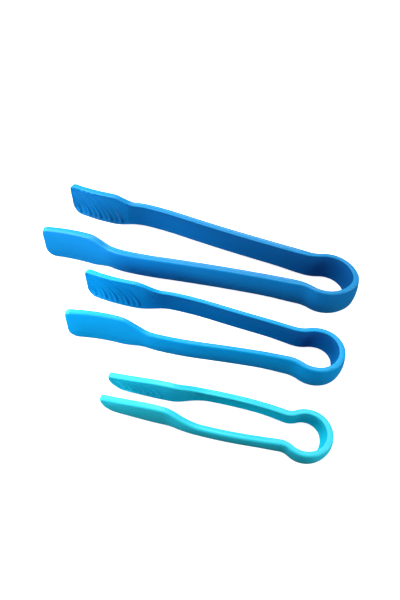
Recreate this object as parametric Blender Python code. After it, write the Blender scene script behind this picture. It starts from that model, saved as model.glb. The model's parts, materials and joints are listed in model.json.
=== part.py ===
"""A set of three print tongs for darkroom trays: large, medium and small.

Each pair is one plastic strip standing on its edge. It starts at one paddle jaw, runs along an arm, round a
springy C-shaped bow and back along the other arm to the other jaw. A pair works by bending its bow, so each
bow is divided at the two places where each half bends most: a crown, two limbs, two arms and two jaws.

Sizes are in millimetres and degrees, and become metres when a mesh is made. The tongs lie on their side
edges on z = 0, with their jaws towards -X. The far side of a pair is its +Y side, the near side its -Y side.
"""

import math
from typing import NamedTuple

import bmesh
import bpy
from mathutils import Vector

MM = 0.001
GAP = 0.3  # left between pieces that touch
FLEX_SHARES = (0.30, 0.85)  # where the bow bends, as shares of its length from the crown
BOW_LEVEL_SHARE = 0.6  # share of the bow and neck that keeps the bow's height
CROWN_SHARE = 0.5  # share of the bow over which the crown's own thickness ends
HEEL_SHARE = -0.2  # how far out the outer wall's foot stands, as a share of the toe: here it draws in
NECK_SHARE = 1.6  # the thickness changes over this share of the neck's length
ARM_EASE_SHARE = 0.15  # share of the arm and jaw over which the section becomes the arm's

EDGE_RADIUS = 0.9
EDGE_STEPS = 2  # facets on each rounded edge
LEAST_RADIUS = 0.25  # of the rounded edges where the jaw's front closes
FRONT_STEPS = 5  # facets round the jaw's front corners
BOW_STEP = 3.4  # longest facet along the bow and neck
ARM_STEP = 14.0  # longest facet along the arm
JAW_STEP = 5.5  # longest facet along the jaw

RIB_WIDTH = 1.2
RIB_HEIGHT = 0.6
RIB_ROOT = 0.6  # how deep a rib's foot is sunk in the jaw
RIB_MARGIN = 2.4  # from the rib's end to the jaw's outline
RIB_FIRST = 7.0  # from the tip to the first rib's lower end
RIB_CURVE = 1.7  # 1 is a straight rib, and more bends its upper end towards the tip
RIB_STATIONS = 6

SATIN_ROUGHNESS = 0.38
SHARP_ANGLE = 35.0  # edges that turn by more than this are shaded sharp


class Tongs(NamedTuple):
    name: str
    colour: tuple
    crown: tuple  # x and y of the bow's crown, on the strip's centre line
    yaw: float  # turn about +Z from lying along X
    arcs: tuple  # (length, turn) from crown to tip: bow back, bow side, neck, arm, arm, jaw root, jaw
    crown_thickness: float
    bow_thickness: float
    arm_thickness: float
    jaw_thickness: float
    crown_toe: float  # how much further in the inner wall's foot stands at the crown
    bow_height: float
    arm_low: float
    arm_high: float
    jaw_high: float
    tip_low: float
    tip_high: float
    flare_start: float  # distances along the strip, from the crown
    flare_end: float
    top_corner: float  # radii of the jaw's front corners
    bottom_corner: float
    rib_count: int
    rib_pitch: float
    rib_slant: float  # how much nearer to the tip a rib's upper end is


SET = (
    Tongs(
        name="large",
        colour=(0.016, 0.17, 0.5),
        crown=(114.7, 49.6),
        yaw=-2.4,
        arcs=((5.5, -25), (31, -85), (11, 23), (100.5, 4), (27.5, -5.5), (9, -11.5), (56.4, 21.5)),
        crown_thickness=4.2,
        bow_thickness=3.3,
        arm_thickness=4.8,
        jaw_thickness=4.4,
        crown_toe=3.0,
        bow_height=22.6,
        arm_low=2.8,
        arm_high=22.8,
        jaw_high=28.8,
        tip_low=0.2,
        tip_high=28.4,
        flare_start=186.0,
        flare_end=204.0,
        top_corner=4.8,
        bottom_corner=8.0,
        rib_count=9,
        rib_pitch=4.5,
        rib_slant=24.0,
    ),
    Tongs(
        name="medium",
        colour=(0.01, 0.25, 0.6),
        crown=(113.8, -12.7),
        yaw=0.0,
        arcs=((21.5, -79.5), (11.5, -34.5), (10, 27.5), (56.5, 2.5), (31.5, -6.5), (6, -9.5), (58.7, 22.5)),
        crown_thickness=4.0,
        bow_thickness=3.5,
        arm_thickness=3.4,
        jaw_thickness=4.0,
        crown_toe=2.8,
        bow_height=18.6,
        arm_low=3.4,
        arm_high=20.0,
        jaw_high=26.8,
        tip_low=0.0,
        tip_high=26.0,
        flare_start=136.0,
        flare_end=158.0,
        top_corner=4.2,
        bottom_corner=7.5,
        rib_count=9,
        rib_pitch=4.2,
        rib_slant=20.0,
    ),
    Tongs(
        name="small",
        colour=(0.045, 0.56, 0.68),
        crown=(115.0, -69.4),
        yaw=1.5,
        arcs=((25, -101), (5.5, -22), (7.5, 40), (48.5, -8.5), (17.5, -14), (8, 14.5), (41.4, 0.5)),
        crown_thickness=3.7,
        bow_thickness=3.7,
        arm_thickness=4.2,
        jaw_thickness=4.2,
        crown_toe=3.0,
        bow_height=11.2,
        arm_low=3.6,
        arm_high=12.2,
        jaw_high=17.4,
        tip_low=1.8,
        tip_high=15.2,
        flare_start=86.0,
        flare_end=116.0,
        top_corner=1.6,
        bottom_corner=10.8,
        rib_count=7,
        rib_pitch=4.6,
        rib_slant=14.0,
    ),
)


def bow_length(tongs):
    return tongs.arcs[0][0] + tongs.arcs[1][0]


def neck_end(tongs):
    return bow_length(tongs) + tongs.arcs[2][0]


def half_length(tongs):
    return sum(length for length, _ in tongs.arcs)


def centre_line(tongs, s):
    """Point and outward normal at a signed distance from the crown, positive on the far side."""
    side = math.copysign(1, s)
    left = abs(s)
    x, y, heading = 0.0, 0.0, math.pi / 2
    for length, turn in tongs.arcs:
        step = min(left, length)
        bend = math.radians(turn) * step / length
        chord = step if abs(bend) < 1e-9 else 2 * step * math.sin(bend / 2) / bend
        x -= chord * math.cos(heading + bend / 2)
        y += chord * math.sin(heading + bend / 2)
        heading += bend
        left -= step
    return Vector((x, side * y, 0)), Vector((math.sin(heading), side * math.cos(heading), 0))


def eased(knots, s):
    """The value at s of a curve that passes smoothly from knot to knot."""
    for (start, first), (end, last) in zip(knots, knots[1:]):
        if s <= end:
            share = max(0.0, (s - start) / (end - start))
            return first + (last - first) * share * share * (3 - 2 * share)
    return knots[-1][1]


def arm_start(tongs):
    return neck_end(tongs) + ARM_EASE_SHARE * (half_length(tongs) - neck_end(tongs))


def thickness(tongs, s):
    knots = (
        (0.0, tongs.crown_thickness),
        (CROWN_SHARE * bow_length(tongs), tongs.bow_thickness),
        (bow_length(tongs), tongs.bow_thickness),
        (bow_length(tongs) + NECK_SHARE * tongs.arcs[2][0], tongs.arm_thickness),
        (tongs.flare_end, tongs.arm_thickness),
        (half_length(tongs), tongs.jaw_thickness),
    )
    return eased(knots, s)


def corner_cut(radius, to_tip):
    """How much a front corner of this radius takes off the jaw's height, this far from the tip."""
    inside = max(0.0, radius - to_tip)
    return radius - math.sqrt(radius**2 - inside**2)


def heights(tongs, s):
    """Lowest and highest z of the strip at s."""
    level = BOW_LEVEL_SHARE * neck_end(tongs)
    eases = (level, arm_start(tongs), tongs.flare_start, tongs.flare_end, half_length(tongs))
    lows = (0.0, tongs.arm_low, tongs.arm_low, 0.0, tongs.tip_low)
    highs = (tongs.bow_height, tongs.arm_high, tongs.arm_high, tongs.jaw_high, tongs.tip_high)
    to_tip = half_length(tongs) - s
    low = eased(tuple(zip(eases, lows)), s) + corner_cut(tongs.bottom_corner, to_tip)
    high = eased(tuple(zip(eases, highs)), s) - corner_cut(tongs.top_corner, to_tip)
    return low, high


def section(tongs, s):
    """The closed loop of points round the strip at the signed distance s."""
    distance = abs(s)
    centre, outward = centre_line(tongs, s)
    closing = corner_cut(EDGE_RADIUS, half_length(tongs) - distance)
    half = thickness(tongs, distance) / 2 - closing
    low, high = heights(tongs, distance)
    radius = max(EDGE_RADIUS - closing, LEAST_RADIUS)
    toe = eased(((0.0, tongs.crown_toe), (bow_length(tongs), 0.0)), distance)
    foot = (0.0, 0.0, -toe, HEEL_SHARE * toe)
    points = []
    for quarter, (across, up) in enumerate(((1, 1), (-1, 1), (-1, -1), (1, -1))):
        edge = high - closing if up > 0 else low + closing
        for step in range(EDGE_STEPS + 1):
            angle = math.pi / 2 * (quarter + step / EDGE_STEPS)
            wide = across * (half - radius) + radius * math.cos(angle)
            wide += foot[quarter]
            z = edge - up * radius + radius * math.sin(angle)
            points.append(centre + outward * wide + Vector((0, 0, z)))
    return points


def stations(start, end, longest):
    steps = max(1, math.ceil((end - start) / longest))
    return [start + (end - start) * i / steps for i in range(steps + 1)]


def jaw_stations(tongs):
    front = half_length(tongs) - tongs.bottom_corner
    body = stations(tongs.flare_start + GAP / 2, front, JAW_STEP)
    turns = [math.pi / 2 * i / FRONT_STEPS for i in range(1, FRONT_STEPS + 1)]
    return body + [front + tongs.bottom_corner * math.sin(turn) for turn in turns]


def mesh_of(name, loops_of_bodies, pivot):
    """A mesh of closed lofts, one for each list of loops, with its origin at the pivot."""
    mesh = bpy.data.meshes.new(name)
    made = bmesh.new()
    for loops in loops_of_bodies:
        rings = [[made.verts.new((point - pivot) * MM) for point in loop] for loop in loops]
        for ring, following in zip(rings, rings[1:]):
            for i in range(len(ring)):
                made.faces.new((ring[i - 1], ring[i], following[i], following[i - 1]))
        made.faces.new(rings[0])
        made.faces.new(rings[-1])
    bmesh.ops.recalc_face_normals(made, faces=made.faces)
    made.to_mesh(mesh)
    made.free()
    mesh.shade_smooth()
    mesh.set_sharp_from_angle(angle=math.radians(SHARP_ANGLE))
    return mesh


def plastic(tongs, piece):
    material = bpy.data.materials.new(f"{tongs.name}_{piece}_plastic")
    material.use_nodes = True
    shader = material.node_tree.nodes["Principled BSDF"]
    shader.inputs["Base Color"].default_value = (*tongs.colour, 1)
    shader.inputs["Roughness"].default_value = SATIN_ROUGHNESS
    shader.inputs["Metallic"].default_value = 0.0
    return material


def place(name, mesh, material, parent, pivot, parent_pivot):
    obj = bpy.data.objects.new(name, mesh)
    bpy.context.scene.collection.objects.link(obj)
    mesh.materials.append(material)
    obj.parent = parent
    obj.location = (pivot - parent_pivot) * MM
    return obj


def rib_route(tongs, low_end):
    """(distance, z) along a rib, from its lower end up to the jaw's outline."""
    last = half_length(tongs) - RIB_MARGIN
    bottom = heights(tongs, low_end)[0] + RIB_MARGIN
    top = heights(tongs, min(last, low_end + tongs.rib_slant))[1] - RIB_MARGIN
    reach = min(1.0, ((last - low_end) / tongs.rib_slant) ** (1 / RIB_CURVE))
    shares = [reach * i / (RIB_STATIONS - 1) for i in range(RIB_STATIONS)]
    return [(low_end + tongs.rib_slant * f**RIB_CURVE, bottom + (top - bottom) * f) for f in shares]


def rib_loops(tongs, side, low_end):
    """Loops of a rib's section, which stands on the jaw's inner face."""
    route = rib_route(tongs, low_end)
    profile = (
        (-RIB_WIDTH / 2, -RIB_ROOT),
        (-RIB_WIDTH / 2, 0.0),
        (0.0, RIB_HEIGHT),
        (RIB_WIDTH / 2, 0.0),
        (RIB_WIDTH / 2, -RIB_ROOT),
    )
    loops = []
    for i, (s, z) in enumerate(route):
        before, after = route[max(i - 1, 0)], route[min(i + 1, len(route) - 1)]
        run, rise = after[0] - before[0], after[1] - before[1]
        across = Vector((rise, -run)).normalized()
        loop = []
        for wide, proud in profile:
            distance = s + across.x * wide
            centre, outward = centre_line(tongs, side * distance)
            inward = thickness(tongs, distance) / 2 + proud
            loop.append(centre - outward * inward + Vector((0, 0, z + across.y * wide)))
        loops.append(loop)
    return loops


def add_ribs(tongs, side, jaw, pivot):
    """Joins the grip ribs to the jaw's inner face."""
    tip = half_length(tongs)
    low_ends = [tip - RIB_FIRST - tongs.rib_pitch * i for i in range(tongs.rib_count)]
    bodies = [rib_loops(tongs, side, low_end) for low_end in low_ends]
    ribs = bpy.data.objects.new(f"{jaw.name}_ribs", mesh_of(f"{jaw.name}_ribs", bodies, pivot))
    bpy.context.scene.collection.objects.link(ribs)
    ribs.parent = jaw
    ribs.hide_render = True
    ribs.display_type = "WIRE"
    union = jaw.modifiers.new("grip_ribs", "BOOLEAN")
    union.operation = "UNION"
    union.object = ribs


def make_half(tongs, side, crown):
    """The limb, arm and jaw on one side, each hung on the piece before it."""
    side_name = "far" if side > 0 else "near"
    bends = [share * bow_length(tongs) for share in FLEX_SHARES]
    neck = neck_end(tongs)
    pieces = (
        ("bow_limb", stations(bends[0] + GAP / 2, bends[1] - GAP / 2, BOW_STEP)),
        (
            "arm",
            stations(bends[1] + GAP / 2, neck, BOW_STEP)
            + stations(neck, tongs.flare_start - GAP / 2, ARM_STEP)[1:],
        ),
        ("jaw", jaw_stations(tongs)),
    )
    pivots = [centre_line(tongs, side * s)[0] for s in (*bends, tongs.flare_start)]
    parent, parent_pivot = crown, Vector()
    for (piece, distances), pivot in zip(pieces, pivots):
        name = f"{tongs.name}_{piece}_{side_name}"
        loops = [section(tongs, side * s) for s in distances]
        mesh = mesh_of(name, [loops], pivot)
        obj = place(name, mesh, plastic(tongs, f"{piece}_{side_name}"), parent, pivot, parent_pivot)
        if piece == "jaw":
            add_ribs(tongs, side, obj, pivot)
        parent, parent_pivot = obj, pivot


def make_tongs(tongs):
    root = bpy.data.objects.new(f"{tongs.name}_tongs", None)
    bpy.context.scene.collection.objects.link(root)
    root.location = Vector((*tongs.crown, 0)) * MM
    root.rotation_euler.z = math.radians(tongs.yaw)
    end = FLEX_SHARES[0] * bow_length(tongs) - GAP / 2
    name = f"{tongs.name}_bow_crown"
    mesh = mesh_of(name, [[section(tongs, s) for s in stations(-end, end, BOW_STEP)]], Vector())
    crown = place(name, mesh, plastic(tongs, "bow_crown"), root, Vector(), Vector())
    for side in (1, -1):
        make_half(tongs, side, crown)


def main():
    for obj in list(bpy.data.objects):
        bpy.data.objects.remove(obj, do_unlink=True)
    for tongs in SET:
        make_tongs(tongs)


main()
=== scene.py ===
"""Looks for the set of three print tongs: plastic mouldings, a pale floor, soft light and the camera.

Each pair is one moulding, so its seven CAD nodes are replaced by six pieces of one unbroken skin: the two
halves of the bow, the two arms and the two jaws. The jaws ride on the arms. The bow halves and arms are
baked in place and do not bend across the hinges that stand in for the plastic's bending.

The tongs' lengths are in millimetres and become metres when a mesh is made. Angles are in degrees. In a
pair's own plan the crown of the bow is at the origin, the jaws lie towards -X, and the far half is on the +Y
side. The near half is its mirror image. The floor, lights and camera are placed in metres.
"""

import json
import math
from typing import NamedTuple

import bmesh
import bpy
import numpy as np
from mathutils import Matrix, Vector


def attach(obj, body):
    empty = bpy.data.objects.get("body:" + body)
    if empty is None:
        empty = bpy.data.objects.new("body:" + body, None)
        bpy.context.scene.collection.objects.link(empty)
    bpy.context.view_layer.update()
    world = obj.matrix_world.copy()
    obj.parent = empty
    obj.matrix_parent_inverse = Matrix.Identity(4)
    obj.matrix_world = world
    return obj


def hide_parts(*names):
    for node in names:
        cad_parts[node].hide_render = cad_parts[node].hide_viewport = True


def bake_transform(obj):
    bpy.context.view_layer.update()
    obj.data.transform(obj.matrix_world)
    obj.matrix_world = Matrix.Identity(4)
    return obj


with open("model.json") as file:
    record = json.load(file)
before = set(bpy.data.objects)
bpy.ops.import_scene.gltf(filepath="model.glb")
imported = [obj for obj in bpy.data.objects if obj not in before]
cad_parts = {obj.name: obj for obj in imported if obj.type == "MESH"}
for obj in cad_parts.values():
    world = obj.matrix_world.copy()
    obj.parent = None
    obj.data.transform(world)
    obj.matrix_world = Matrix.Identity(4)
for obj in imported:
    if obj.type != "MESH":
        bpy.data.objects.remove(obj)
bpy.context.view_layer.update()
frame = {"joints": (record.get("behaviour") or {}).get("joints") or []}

MM = 0.001
SIDES = (("far", 1), ("near", -1))
FLEX_SHARES = (0.30, 0.85)  # where the bow's hinges are, as shares of its length from the crown
SEAM_SHARE = 0.575  # where a bow half meets its arm
BEND_REACH = 6.0  # how far either side of its hinge bend_at finds a point; nothing is bent
SEAM_STEP = 0.08  # first step from a seam, so that the shading runs on across it

BOW_LEVEL_SHARE = 0.6  # share of the bow and neck that keeps the bow's height
CROWN_SHARE = 0.5  # share of the bow over which the crown's own thickness ends
NECK_SHARE = 1.6  # the thickness changes over this share of the neck's length
ARM_EASE_SHARE = 0.15  # share of the arm and jaw over which the heights become the arm's
HEEL_SHARE = -0.2  # how far out the outer wall's foot stands, as a share of the toe: here it draws in
FOOT_POWER = 1.6  # above 1, the crown's walls spread mostly near their feet
SKIRT = 0.6  # how far the inner face stands out again along its lower edge
SKIRT_POWER = 8  # high, so that only the lowest part stands out

OUTER_EDGE = 1.0  # radii of the long edges
INNER_EDGE = 0.8
JAW_OUTER_EDGE = 1.1
RIM_ZONE = 1.8  # height over which the rows crowd together to follow a rounded edge
RIM_STEPS = 7
SHARP_ANGLE = 65.0  # edges that turn by more than this are shaded sharp
OUTER_BULGE = 1.0  # how far the outer face swells at mid-height
INNER_DISH = 0.09  # depth of the hollow in the inner face, as a share of the arm's height

GROOVE_DEPTH = 0.25  # the shallow trough along an arm's upper edge
GROOVE_HALF_WIDTH = 0.6
GROOVE_FLOOR = 0.3  # share of the width that lies at full depth
GROOVE_FADE = 12.0  # length over which the trough begins and ends

BOW_STEP = 1.1
ARM_STEP = 2.6
JAW_STEP = 0.4
FRONT_STEPS = 18  # stations round the jaw's lower front corner
STRIP_ROWS = 12
RIBBED_ROWS = 44
TEXTURE_UNIT = 10.0  # the plastic's texture is laid out in centimetres
UNDERSIDE = 1.0  # width of the underside in the texture

RIB_HEIGHT = 1.0
RIB_LOW_END = 0.75  # how much taller, as a share, a rib is at its lower end
RIB_DROP = 0.55  # width of the steep side, towards the bow
RIB_RAMP = 0.5  # width of the other side, as a share of the pitch
RIB_FIRST = 7.0  # from the tip to the first rib's lower end
RIB_FOOT = 2.0  # from the jaw's lower edge to a rib's lower end
RIB_CURVE = 1.7  # 1 is a straight rib, and more bends its upper end towards the tip
RIB_END = 0.8  # length over which a rib's lower end rises
RIB_RIM = (0.6, 1.4)  # ribs fade out between these distances from the jaw's outline
MINOR_RIB = 0.5  # every second rib is lower by this factor
POCKET_DEPTH = 0.4  # the ribbed field is sunk in the jaw's inner face
POCKET_RIM = (1.0, 2.6)
POCKET_BACK = 6.0  # how far behind the last rib the field ends
NICK_FIRST = 8.0  # small bumps where the field meets the jaw's upper edge
NICK_PITCH = 8.5
NICK_COUNT = 4
NICK_RADIUS = 0.8
NICK_HEIGHT = 0.4
NICK_DROP = 1.1  # from the jaw's upper edge
PIN_RADIUS = 0.9  # of the small round mark behind the ribs
PIN_DEPTH = 0.35
PIN_BEHIND = 3.0  # from the last rib to the mark


class Tongs(NamedTuple):
    name: str
    shade: tuple  # darker and lighter end of the plastic's colour
    tint: tuple
    inner: tuple  # colour of the polished inner faces, darker: painted shade where the arms face each other
    edge: tuple  # colour of the upper edge, lighter: a painted highlight where the light falls on the top
    arcs: tuple  # (length, turn) from crown to tip: bow back, bow side, neck, arm, arm, jaw root, jaw
    crown_thickness: float
    bow_thickness: float
    arm_thickness: float
    jaw_thickness: float
    crown_toe: float  # how much further in the inner wall's foot stands at the crown
    jaw_heel: float  # how much further out the jaw's outer foot stands
    bow_height: float
    arm_low: float
    arm_high: float
    jaw_high: float
    tip_low: float
    tip_high: float
    flare_start: float  # distances along the strip, from the crown
    flare_end: float
    top_corner: float  # radii of the jaw's front corners
    bottom_corner: float
    rib_count: int
    rib_pitch: float
    rib_slant: float  # how much nearer to the tip a rib's upper end is
    rib_height: float


SET = (
    Tongs(
        name="large",
        shade=(0.003, 0.205, 0.57),
        tint=(0.004, 0.25, 0.64),
        inner=(0.003, 0.165, 0.515),
        edge=(0.006, 0.27, 0.62),
        arcs=((5.5, -25), (31, -85), (11, 23), (100.5, 4), (27.5, -5.5), (9, -11.5), (56.4, 21.5)),
        crown_thickness=4.2,
        bow_thickness=3.3,
        arm_thickness=4.8,
        jaw_thickness=4.4,
        crown_toe=3.0,
        jaw_heel=0.6,
        bow_height=22.6,
        arm_low=2.8,
        arm_high=22.8,
        jaw_high=28.8,
        tip_low=0.2,
        tip_high=28.4,
        flare_start=186.0,
        flare_end=204.0,
        top_corner=4.8,
        bottom_corner=8.0,
        rib_count=9,
        rib_pitch=4.5,
        rib_slant=24.0,
        rib_height=1.0,
    ),
    Tongs(
        name="medium",
        shade=(0.0, 0.32, 0.76),
        tint=(0.0, 0.36, 0.84),
        inner=(0.0, 0.2, 0.58),
        edge=(0.0, 0.385, 0.80),
        arcs=((21.5, -79.5), (11.5, -34.5), (10, 27.5), (56.5, 2.5), (31.5, -6.5), (6, -9.5), (58.7, 22.5)),
        crown_thickness=4.0,
        bow_thickness=3.5,
        arm_thickness=3.4,
        jaw_thickness=4.0,
        crown_toe=2.8,
        jaw_heel=1.5,
        bow_height=18.6,
        arm_low=3.4,
        arm_high=20.0,
        jaw_high=26.8,
        tip_low=0.0,
        tip_high=26.0,
        flare_start=136.0,
        flare_end=158.0,
        top_corner=4.2,
        bottom_corner=7.5,
        rib_count=9,
        rib_pitch=4.2,
        rib_slant=20.0,
        rib_height=0.7,
    ),
    Tongs(
        name="small",
        shade=(0.018, 0.61, 0.82),
        tint=(0.025, 0.69, 0.90),
        inner=(0.003, 0.62, 0.85),
        edge=(0.03, 0.68, 0.84),
        arcs=((25, -101), (5.5, -22), (7.5, 40), (48.5, -8.5), (17.5, -14), (8, 14.5), (41.4, 0.5)),
        crown_thickness=3.7,
        bow_thickness=3.7,
        arm_thickness=4.2,
        jaw_thickness=4.2,
        crown_toe=3.0,
        jaw_heel=0.0,
        bow_height=11.2,
        arm_low=3.6,
        arm_high=12.2,
        jaw_high=17.4,
        tip_low=1.8,
        tip_high=15.2,
        flare_start=86.0,
        flare_end=116.0,
        top_corner=1.6,
        bottom_corner=10.8,
        rib_count=7,
        rib_pitch=4.6,
        rib_slant=14.0,
        rib_height=0.55,
    ),
)


# The strip's plan and outline


def bow_length(tongs):
    return tongs.arcs[0][0] + tongs.arcs[1][0]


def neck_end(tongs):
    return bow_length(tongs) + tongs.arcs[2][0]


def half_length(tongs):
    return sum(length for length, _ in tongs.arcs)


def arm_start(tongs):
    return neck_end(tongs) + ARM_EASE_SHARE * (half_length(tongs) - neck_end(tongs))


def centre_line(tongs, s):
    """Point and outward normal of the far half in plan, at the distance s from the crown."""
    left = s
    x, y, heading = 0.0, 0.0, math.pi / 2
    for length, turn in tongs.arcs:
        step = min(left, length)
        bend = math.radians(turn) * step / length
        chord = step * np.sinc(bend / 2 / math.pi)
        x -= chord * math.cos(heading + bend / 2)
        y += chord * math.sin(heading + bend / 2)
        heading += bend
        left -= step
    return np.array((x, y)), np.array((math.sin(heading), math.cos(heading)))


def smooth(share):
    share = np.clip(share, 0.0, 1.0)
    return share * share * (3 - 2 * share)


def eased(knots, s):
    """The value at s of a curve that passes smoothly from knot to knot."""
    value = knots[0][1]
    for (start, first), (end, last) in zip(knots, knots[1:]):
        value += (last - first) * smooth((s - start) / (end - start))
    return value


def thickness(tongs, s):
    knots = (
        (0.0, tongs.crown_thickness),
        (CROWN_SHARE * bow_length(tongs), tongs.bow_thickness),
        (bow_length(tongs), tongs.bow_thickness),
        (bow_length(tongs) + NECK_SHARE * tongs.arcs[2][0], tongs.arm_thickness),
        (tongs.flare_end, tongs.arm_thickness),
        (half_length(tongs), tongs.jaw_thickness),
    )
    return eased(knots, s)


def heights(tongs, s):
    """Lowest and highest z of the strip at s, before its front corners are rounded."""
    level = BOW_LEVEL_SHARE * neck_end(tongs)
    eases = (level, arm_start(tongs), tongs.flare_start, tongs.flare_end, half_length(tongs))
    lows = (0.0, tongs.arm_low, tongs.arm_low, 0.0, tongs.tip_low)
    highs = (tongs.bow_height, tongs.arm_high, tongs.arm_high, tongs.jaw_high, tongs.tip_high)
    return eased(tuple(zip(eases, lows)), s), eased(tuple(zip(eases, highs)), s)


def corner_cut(radius, to_tip):
    """How much a front corner of this radius takes off the jaw's height, this far from the tip."""
    inside = max(0.0, radius - to_tip)
    return radius - math.sqrt(radius**2 - inside**2)


def rim_distance(tongs, s, z):
    """Distance from each height z at s to the strip's outline, front corners included."""
    low, high = heights(tongs, s)
    to_tip = half_length(tongs) - s
    distance = np.minimum(np.minimum(z - low, high - z), to_tip)
    for radius, from_edge in ((tongs.bottom_corner, z - low), (tongs.top_corner, high - z)):
        in_corner = (from_edge < radius) & (to_tip < radius)
        distance = np.where(in_corner, radius - np.hypot(radius - to_tip, radius - from_edge), distance)
    return np.maximum(distance, 0.0)


# The strip's two faces


def rounded(radius, distance):
    """How far a rounded edge of this radius has come in, at this distance from the rim."""
    inside = np.clip(radius - distance, 0.0, radius)
    return radius - np.sqrt(radius**2 - inside**2)


def swell(distance, half_height):
    """From 0 at the rim to 1 at mid-height."""
    return 1 - (1 - np.clip(distance / half_height, 0.0, 1.0)) ** 2


def outer_face(tongs, s, z, rim):
    """How far the outer face stands from the centre line."""
    low, high = heights(tongs, s)
    below = np.clip((high - z) / (high - low), 0.0, 1.0)
    edge = eased(((tongs.flare_start, OUTER_EDGE), (tongs.flare_end, JAW_OUTER_EDGE)), s)
    heel = HEEL_SHARE * eased(((0.0, tongs.crown_toe), (bow_length(tongs), 0.0)), s)
    jaw_heel = eased(((tongs.flare_start, 0.0), (tongs.flare_end, tongs.jaw_heel)), s)
    swelling = OUTER_BULGE * swell(rim, (high - low) / 2)
    spread = heel * below**FOOT_POWER + jaw_heel * below
    return thickness(tongs, s) / 2 - rounded(edge, rim) + swelling + spread


def inner_face(tongs, s, z, rim):
    """How far the inner face stands from the centre line, on its other side."""
    low, high = heights(tongs, s)
    below = np.clip((high - z) / (high - low), 0.0, 1.0)
    toe = eased(((0.0, tongs.crown_toe), (bow_length(tongs), 0.0)), s)
    hollow = INNER_DISH * (tongs.arm_high - tongs.arm_low) * swell(rim, (high - low) / 2)
    foot = toe * below**FOOT_POWER + SKIRT * below**SKIRT_POWER
    plain = thickness(tongs, s) / 2 - rounded(INNER_EDGE, rim) - hollow + foot
    if s < tongs.flare_start:
        return plain
    raised = ribs(tongs, s, z, rim) + nicks(tongs, s, z)
    sunk = pocket(tongs, s, rim) + pin_mark(tongs, s, z)
    return plain + raised - sunk


def rib_ends(tongs):
    return [half_length(tongs) - RIB_FIRST - tongs.rib_pitch * i for i in range(tongs.rib_count)]


def ribs(tongs, s, z, rim):
    """Height of the grip ribs: slanting ridges, steep on the bow's side and ramped on the tip's side."""
    low, high = heights(tongs, s)
    foot = low + RIB_FOOT
    climb = np.clip((z - foot) / (high - foot), 0.0, 1.0)
    slope = tongs.rib_slant * RIB_CURVE * climb ** (RIB_CURVE - 1) / (high - foot)
    squeeze = np.sqrt(1 + slope**2)
    relief = np.zeros_like(z)
    for i, low_end in enumerate(rib_ends(tongs)):
        across = s - low_end - tongs.rib_slant * climb**RIB_CURVE
        ramp = 1 - across / tongs.rib_pitch / RIB_RAMP
        drop = smooth(1 + across / squeeze / RIB_DROP)
        height = MINOR_RIB if i % 2 else 1.0
        relief += height * np.where(across > 0, np.clip(ramp, 0.0, 1.0), drop)
    start = smooth((z - foot) / RIB_END)
    fade = smooth((rim - RIB_RIM[0]) / (RIB_RIM[1] - RIB_RIM[0]))
    growth = 1 + RIB_LOW_END * (1 - climb) ** 2
    return RIB_HEIGHT * tongs.rib_height * relief * growth * start * fade


def pocket(tongs, s, rim):
    """Depth of the field that the ribs stand in."""
    back = smooth((s - rib_ends(tongs)[-1] + POCKET_BACK) / POCKET_BACK)
    inside = smooth((rim - POCKET_RIM[0]) / (POCKET_RIM[1] - POCKET_RIM[0]))
    return POCKET_DEPTH * tongs.rib_height * back * inside


def nicks(tongs, s, z):
    """Height of the small bumps under the jaw's upper edge."""
    _, high = heights(tongs, s)
    relief = np.zeros_like(z)
    for i in range(NICK_COUNT):
        centre = half_length(tongs) - NICK_FIRST - NICK_PITCH * i
        away = np.hypot(s - centre, z - high + NICK_DROP)
        relief += NICK_HEIGHT * tongs.rib_height * (1 - smooth(away / NICK_RADIUS))
    return relief


def pin_mark(tongs, s, z):
    """Depth of the small round mark that the mould leaves behind the ribs."""
    low, high = heights(tongs, s)
    centre = rib_ends(tongs)[-1] - PIN_BEHIND
    away = np.hypot(s - centre, z - (low + high) / 2)
    return PIN_DEPTH * (1 - smooth(away / PIN_RADIUS))


def groove_depth(tongs, s):
    """Depth of the trough, which runs along the arm only."""
    begins = smooth((s - neck_end(tongs)) / GROOVE_FADE)
    ends = smooth((tongs.flare_end - s) / GROOVE_FADE)
    return GROOVE_DEPTH * begins * ends


# Meshes


def strip_rows(low, high, count):
    """Heights from low to high, crowded towards the rounded edges."""
    depth = min(RIM_ZONE, (high - low) / 3)
    zone = depth * (1 - np.cos(np.linspace(0, math.pi / 2, RIM_STEPS + 1)))
    middle = np.linspace(low + depth, high - depth, count + 1)[1:-1]
    return np.concatenate((low + zone, middle, (high - zone)[::-1]))


def section(tongs, s, inner_rows):
    """(offset, z) of the points round the strip: up its outer face and down its inner one."""
    low, high = heights(tongs, s)
    to_tip = half_length(tongs) - s
    low += corner_cut(tongs.bottom_corner, to_tip)
    high -= corner_cut(tongs.top_corner, to_tip)
    outer_z = strip_rows(low, high, STRIP_ROWS)
    inner_z = strip_rows(low, high, inner_rows)
    outer = outer_face(tongs, s, outer_z, rim_distance(tongs, s, outer_z))
    inner = -inner_face(tongs, s, inner_z, rim_distance(tongs, s, inner_z))
    middle = (outer[-1] + inner[-1]) / 2
    wide = min(GROOVE_HALF_WIDTH, (outer[-1] - inner[-1]) / 3)
    groove = middle + wide * np.array((1.0, GROOVE_FLOOR, -GROOVE_FLOOR, -1.0))
    groove_z = high - groove_depth(tongs, s) * np.array((0.0, 1.0, 1.0, 0.0))
    offsets = np.concatenate((outer, groove, inner[::-1]))
    return np.column_stack((offsets, np.concatenate((outer_z, groove_z, inner_z[::-1]))))


def stations(start, end, step):
    """Distances from start to end, with one extra close to each end."""
    count = max(2, math.ceil((end - start) / step))
    even = np.linspace(start, end, count + 1)
    return np.concatenate(((start, start + SEAM_STEP), even[1:-1], (end - SEAM_STEP, end)))


def jaw_stations(tongs):
    front = half_length(tongs) - tongs.bottom_corner
    body = stations(tongs.flare_start, front, JAW_STEP)
    turns = np.linspace(0, math.pi / 2, FRONT_STEPS + 1)[1:]
    return np.concatenate((body[:-2], (front,), front + tongs.bottom_corner * np.sin(turns)))


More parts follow.
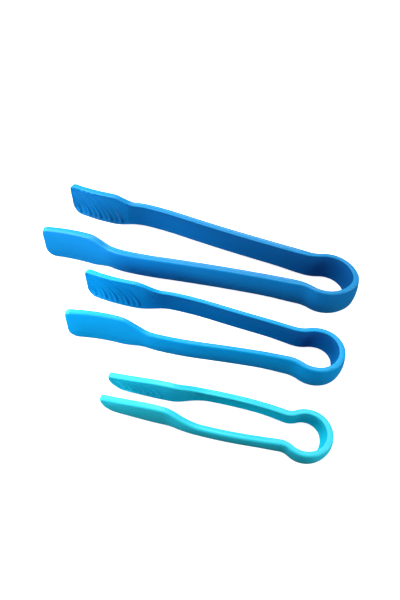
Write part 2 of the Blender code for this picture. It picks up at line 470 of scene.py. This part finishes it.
def joint_point(name):
    return next(Vector(joint["pos_m"]) for joint in frame["joints"] if joint["name"] == name)


def placement(tongs):
    """Matrix from the pair's own plan, in millimetres, to the frame. Its bow hinges say where it lies."""
    far, near = (joint_point(f"{tongs.name}_bow_{side}_flex") for side, _ in SIDES)
    across = (far - near).normalized()
    along = Vector((across.y, -across.x, 0))
    hinge, _ = centre_line(tongs, FLEX_SHARES[0] * bow_length(tongs))
    crown = (far + near) / 2 - along * hinge[0] * MM
    turn = Matrix((along, across, (0, 0, 1))).transposed().to_4x4()
    return Matrix.Translation((crown.x, crown.y, 0)) @ turn @ Matrix.Scale(MM, 4)


def plan_point(tongs, side, s):
    """Point of the centre line in the frame."""
    (x, y), _ = centre_line(tongs, s)
    return placement(tongs) @ Vector((x, side * y, 0))


def ring_points(tongs, side, s, inner_rows):
    """Points of one section in the pair's plan, and their distances round it."""
    point, outward = centre_line(tongs, s)
    profile = section(tongs, s, inner_rows)
    plan = point + profile[:, :1] * outward
    plan[:, 1] *= side
    steps = np.hypot(*np.diff(profile, axis=0).T)
    return np.column_stack((plan, profile[:, 1])), np.concatenate(((0.0,), np.cumsum(steps)))


def skin(name, tongs, side, distances, inner_rows):
    """A closed mesh of the strip between the first and the last distance."""
    made = [ring_points(tongs, side, s, inner_rows) for s in distances]
    size = len(made[0][0])
    points = np.concatenate([ring for ring, _ in made])
    faces = []
    coordinates = []
    for i in range(len(made) - 1):
        here, there = i * size, (i + 1) * size
        for j in range(size):
            following = (j + 1) % size
            faces.append((here + j, here + following, there + following, there + j))
            for station, place in ((i, j), (i, j + 1), (i + 1, j + 1), (i + 1, j)):
                girth = made[station][1]
                round_it = girth[place] if place < size else girth[-1] + UNDERSIDE
                coordinates.append((distances[station], round_it))
    for station in (0, len(made) - 1):
        faces.append(tuple(range(station * size, (station + 1) * size)))
        coordinates += [(distances[station], place) for place in made[station][1]]
    mesh = bpy.data.meshes.new(name)
    mesh.from_pydata(points.tolist(), [], faces)
    layer = mesh.uv_layers.new(name="strip")
    layer.data.foreach_set("uv", np.array(coordinates).ravel() / TEXTURE_UNIT)
    mesh.transform(placement(tongs))
    inner_half = np.arange(size) >= size - inner_rows - 2 * RIM_STEPS - 1
    # the polish also carries the painted shade of the inner faces: full on the arms, less on the jaws
    knots = ((tongs.flare_start, 1.0), (tongs.flare_end, JAW_POLISH_AND_SHADE))
    # painted highlight: a number that rises to 1 at the upper edge
    edge = smooth(1 + np.array([ring[:, 2] - ring[:, 2].max() for ring, _ in made]) / EDGE_HIGHLIGHT_DEPTH)
    add_value(mesh, "upper_edge", edge)
    add_value(mesh, "polish", np.outer([eased(knots, s) for s in distances], inner_half) * (1 - edge))
    face_outwards(mesh)
    mesh.shade_smooth()
    mesh.set_sharp_from_angle(angle=math.radians(SHARP_ANGLE))
    return mesh


def add_value(mesh, name, values):
    """A number on each point, which the material reads."""
    mesh.attributes.new(name, "FLOAT", "POINT").data.foreach_set("value", values.ravel())


def face_outwards(mesh):
    made = bmesh.new()
    made.from_mesh(mesh)
    bmesh.ops.recalc_face_normals(made, faces=made.faces)
    made.to_mesh(mesh)
    made.free()


def add_piece(name, mesh, material):
    piece = bpy.data.objects.new(name, mesh)
    bpy.context.scene.collection.objects.link(piece)
    mesh.materials.append(material)
    return piece


def bend_at(piece, tongs, side, share):
    """Bakes the piece's transform into its mesh. The points either side of the hinge at this share of the
    bow are found, but nothing is bent.
    """
    hinge = share * bow_length(tongs)
    start = plan_point(tongs, side, hinge - BEND_REACH)
    end = plan_point(tongs, side, hinge + BEND_REACH)
    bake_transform(piece)


def make_half(tongs, side_name, side, material):
    """The skin of one half: bow half, arm and jaw."""
    arm = f"{tongs.name}_arm_{side_name}"
    seam = SEAM_SHARE * bow_length(tongs)
    bow_half = stations(0.0, seam, BOW_STEP)
    neck = stations(seam, arm_start(tongs), BOW_STEP)
    whole_arm = np.concatenate((neck[:-2], stations(arm_start(tongs), tongs.flare_start, ARM_STEP)[2:]))

    name = f"{tongs.name}_bow_{side_name}_skin"
    bow = add_piece(name, skin(name, tongs, side, bow_half, STRIP_ROWS), material)
    bend_at(bow, tongs, side, FLEX_SHARES[0])
    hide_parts(f"{tongs.name}_bow_limb_{side_name}")

    name = f"{tongs.name}_arm_{side_name}_skin"
    arm_skin = add_piece(name, skin(name, tongs, side, whole_arm, STRIP_ROWS), material)
    bend_at(arm_skin, tongs, side, FLEX_SHARES[1])
    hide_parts(f"{tongs.name}_arm_{side_name}")

    name = f"{tongs.name}_jaw_{side_name}_skin"
    jaw = add_piece(name, skin(name, tongs, side, jaw_stations(tongs), RIBBED_ROWS), material)
    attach(jaw, arm)
    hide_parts(f"{tongs.name}_jaw_{side_name}")
    return bow


# Plastic

GRAIN = 9.0  # lumps of the satin texture in a centimetre
GRAIN_BUMP = 0.03
GRAIN_DEPTH = 0.2
NOISE_ROUGHNESS = 0.55
FLOW_MIX = (0.35, 0.65)  # how far the flow marks go from the shade towards the tint
FLOW_ROUGHNESS = 0.02
PLASTIC_IOR = 1.49
SPECULAR_LEVEL = 0.3
GLOW_WEIGHT = 0.12  # of the light that spreads under the surface
GLOW_RADIUS = (0.4, 0.8, 1.0)
GLOW_REACH = 1.2
SATIN_ROUGHNESS = 0.40
POLISHED_ROUGHNESS = 0.24
EDGE_HIGHLIGHT_DEPTH = 1.2  # depth of the painted highlight along the upper edge
JAW_POLISH_AND_SHADE = 0.4  # the ribbed faces are less polished, and carry less painted shade, than the arms' inner faces


def add_node(tree, kind, **values):
    """A node with its input sockets set by name."""
    node = tree.nodes.new(kind)
    for name, value in values.items():
        node.inputs[name.replace("_", " ")].default_value = value
    return node


def stretched_noise(tree, uv, stretch, scale, detail):
    """Noise on the strip's own coordinates, drawn out along the strip by the stretch."""
    mapping = add_node(tree, "ShaderNodeMapping", Scale=(1 / stretch, 1.0, 1.0))
    noise = add_node(tree, "ShaderNodeTexNoise", Scale=scale, Detail=detail, Roughness=NOISE_ROUGHNESS)
    tree.links.new(uv.outputs["UV"], mapping.inputs["Vector"])
    tree.links.new(mapping.outputs["Vector"], noise.inputs["Vector"])
    return noise.outputs["Fac"]


def spread(tree, value, low, high, start=0.3, end=0.7):
    """The value between start and end, spread from low to high."""
    node = add_node(tree, "ShaderNodeMapRange", From_Min=start, From_Max=end, To_Min=low, To_Max=high)
    tree.links.new(value, node.inputs["Value"])
    return node.outputs["Result"]


def mixed(tree, share, first, second):
    """A colour that goes from the first to the second with the share. The first may be a node's output."""
    node = tree.nodes.new("ShaderNodeMix")
    node.data_type = "RGBA"
    tree.links.new(share, node.inputs["Factor"])
    if isinstance(first, tuple):
        node.inputs["A"].default_value = (*first, 1)
    else:
        tree.links.new(first, node.inputs["A"])
    node.inputs["B"].default_value = (*second, 1)
    return node.outputs["Result"]


def plastic(tongs):
    """Satin polypropylene, polished on the inner faces, with faint flow marks along the strip,
    painted shade in a darker colour on the inner faces and a painted highlight in a lighter colour along the
    upper edge.
    """
    material = bpy.data.materials.new(f"{tongs.name}_plastic_skin")
    material.use_nodes = True
    tree = material.node_tree
    shader = tree.nodes["Principled BSDF"]
    shader.inputs["IOR"].default_value = PLASTIC_IOR
    shader.inputs["Specular IOR Level"].default_value = SPECULAR_LEVEL
    shader.inputs["Subsurface Weight"].default_value = GLOW_WEIGHT
    shader.inputs["Subsurface Radius"].default_value = GLOW_RADIUS
    shader.inputs["Subsurface Scale"].default_value = GLOW_REACH * MM
    uv = add_node(tree, "ShaderNodeUVMap")
    uv.uv_map = "strip"

    flow = stretched_noise(tree, uv, stretch=7.0, scale=2.2, detail=3.0)
    polish = tree.nodes.new("ShaderNodeAttribute")
    polish.attribute_name = "polish"
    edge = tree.nodes.new("ShaderNodeAttribute")
    edge.attribute_name = "upper_edge"
    outer = mixed(tree, spread(tree, flow, *FLOW_MIX), tongs.shade, tongs.tint)
    # painted shade: the inner faces take their darker colour
    faces = mixed(tree, polish.outputs["Fac"], outer, tongs.inner)
    # painted highlight: the upper edge takes its lighter colour
    colour = mixed(tree, edge.outputs["Fac"], faces, tongs.edge)
    tree.links.new(colour, shader.inputs["Base Color"])

    base = spread(tree, polish.outputs["Fac"], SATIN_ROUGHNESS, POLISHED_ROUGHNESS, 0.0, 1.0)
    streaks = stretched_noise(tree, uv, stretch=12.0, scale=1.5, detail=2.0)
    uneven = spread(tree, streaks, -FLOW_ROUGHNESS, FLOW_ROUGHNESS)
    total = tree.nodes.new("ShaderNodeMath")
    total.operation = "ADD"
    tree.links.new(base, total.inputs[0])
    tree.links.new(uneven, total.inputs[1])
    tree.links.new(total.outputs["Value"], shader.inputs["Roughness"])

    grain = stretched_noise(tree, uv, stretch=1.0, scale=GRAIN, detail=2.0)
    bump = add_node(tree, "ShaderNodeBump", Strength=GRAIN_BUMP, Distance=GRAIN_DEPTH * MM)
    tree.links.new(grain, bump.inputs["Height"])
    tree.links.new(bump.outputs["Normal"], shader.inputs["Normal"])
    return material


def make_tongs(tongs):
    material = plastic(tongs)
    halves = [make_half(tongs, side_name, side, material) for side_name, side in SIDES]
    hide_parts(f"{tongs.name}_bow_crown")


# Floor, light and camera

CAMERA_TURN = 15.2  # the camera stands this far round from -Y towards +X
CAMERA_ELEVATION = 52.0
CAMERA_DISTANCE = 0.465
CAMERA_LENS = 38.1
CAMERA_TARGET = Vector((0.0087, 0.0203, 0.0))
FLOOR_SIZE = 6.0
FLOOR_DROP = 0.0001
FLOOR_SHADE = 0.93
FLOOR_ROUGHNESS = 0.9
FLOOR_GLOW = 0.85  # of the light table under the set
WORLD_LEVELS = (0.05, 0.09)  # brightness of the room, below and above
WORLD_SPAN = (-0.2, 0.6)  # heights, as sines, between which it changes


def around(turn, elevation, distance):
    """A place round the target. Turn 0 is the camera's side, and positive turns go to the right."""
    heading = math.radians(CAMERA_TURN + turn)
    rise = math.radians(elevation)
    flat = distance * math.cos(rise)
    away = Vector((flat * math.sin(heading), -flat * math.cos(heading), distance * math.sin(rise)))
    return CAMERA_TARGET + away


def aim(obj, place):
    obj.location = place
    obj.rotation_euler = (CAMERA_TARGET - place).to_track_quat("-Z", "Y").to_euler()
    bpy.context.scene.collection.objects.link(obj)


def make_camera():
    lens = bpy.data.cameras.new("camera")
    lens.lens = CAMERA_LENS
    lens.clip_start = 0.01
    camera = bpy.data.objects.new("camera", lens)
    aim(camera, around(0, CAMERA_ELEVATION, CAMERA_DISTANCE))
    bpy.context.scene.camera = camera


def make_light(name, turn, elevation, distance, size, power):
    lamp = bpy.data.lights.new(name, "AREA")
    lamp.shape = "DISK"
    lamp.size = size
    lamp.energy = power
    aim(bpy.data.objects.new(name, lamp), around(turn, elevation, distance))


def make_world():
    """A dim room: soft grey above, dark below."""
    world = bpy.data.worlds.new("studio")
    world.use_nodes = True
    bpy.context.scene.world = world
    tree = world.node_tree
    background = tree.nodes["Background"]
    direction = tree.nodes.new("ShaderNodeTexCoord")
    parts = tree.nodes.new("ShaderNodeSeparateXYZ")
    tree.links.new(direction.outputs["Generated"], parts.inputs["Vector"])
    level = spread(tree, parts.outputs["Z"], *WORLD_LEVELS, *WORLD_SPAN)
    tree.links.new(level, background.inputs["Color"])


def make_floor():
    """A pale, faintly glowing table top. It isn't seen by the plastic, whose lower edges stay dark."""
    mesh = bpy.data.meshes.new("floor")
    half = FLOOR_SIZE / 2
    corners = [(x * half, y * half, -FLOOR_DROP) for x, y in ((-1, -1), (1, -1), (1, 1), (-1, 1))]
    mesh.from_pydata(corners, [], [(0, 1, 2, 3)])
    floor = bpy.data.objects.new("floor", mesh)
    bpy.context.scene.collection.objects.link(floor)
    material = bpy.data.materials.new("pale_floor")
    material.use_nodes = True
    shader = material.node_tree.nodes["Principled BSDF"]
    shader.inputs["Base Color"].default_value = (FLOOR_SHADE, FLOOR_SHADE, FLOOR_SHADE, 1)
    shader.inputs["Roughness"].default_value = FLOOR_ROUGHNESS
    shader.inputs["Specular IOR Level"].default_value = 0.0
    shader.inputs["Emission Color"].default_value = (1, 1, 1, 1)
    shader.inputs["Emission Strength"].default_value = FLOOR_GLOW
    mesh.materials.append(material)
    floor.visible_diffuse = False
    floor.visible_glossy = False


def main():
    for tongs in SET:
        make_tongs(tongs)
    make_floor()
    make_world()
    make_light("back_softbox", turn=180, elevation=68, distance=0.7, size=0.35, power=3.76)
    make_light("right_softbox", turn=73, elevation=22, distance=0.7, size=0.35, power=2.295)
    make_light("right_low_lamp", turn=35, elevation=12, distance=0.3, size=0.10, power=0.08)
    make_light("left_lamp", turn=-75, elevation=25, distance=0.22, size=0.08, power=0.30)
    make_light("left_low_lamp", turn=-50, elevation=15, distance=0.25, size=0.10, power=0.19)
    make_light("left_back_lamp", turn=-110, elevation=30, distance=0.25, size=0.10, power=0.35)
    make_camera()
    bpy.context.scene.view_settings.view_transform = "Standard"


main()
